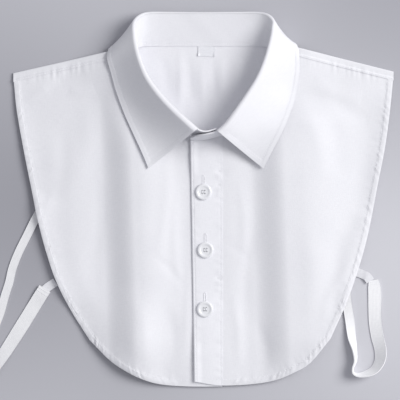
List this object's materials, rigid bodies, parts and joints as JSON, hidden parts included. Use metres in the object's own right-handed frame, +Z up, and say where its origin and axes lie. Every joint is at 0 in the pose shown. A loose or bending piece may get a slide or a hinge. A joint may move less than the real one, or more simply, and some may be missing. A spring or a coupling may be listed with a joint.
{
  "type": "dickey, laid flat",
  "caption": "Dickey, a false shirt front with turned-down collar, buttoned placket and elastic side loops, laid flat with its front up.",
  "frame": {"origin": "underside of the back panel, on the centre line of the closed front, where the garment rests", "axes": "+X towards the wearer's left (the viewer's right), +Y towards the back of the neck, +Z up from the table"},
  "size_m": [0.3967, 0.3552, 0.0381],
  "materials": {
    "cotton": "matte",
    "elastic": "matte",
    "resin": "glossy",
    "woven_label": "satin"
  },
  "bodies": {
    "root": {"back_panel": "cotton", "front_under": "cotton", "front_over": "cotton", "placket": "cotton", "shoulder_turn_left": "cotton", "shoulder_turn_right": "cotton", "collar_stand": "cotton", "collar_leaf": "cotton", "size_label": "woven_label", "band_right": "elastic", "band_left": "elastic", "band_tab_right": "elastic", "band_tab_left": "elastic", "button_1": "resin", "button_2": "resin", "button_3": "resin"}
  },
  "joints": []
}
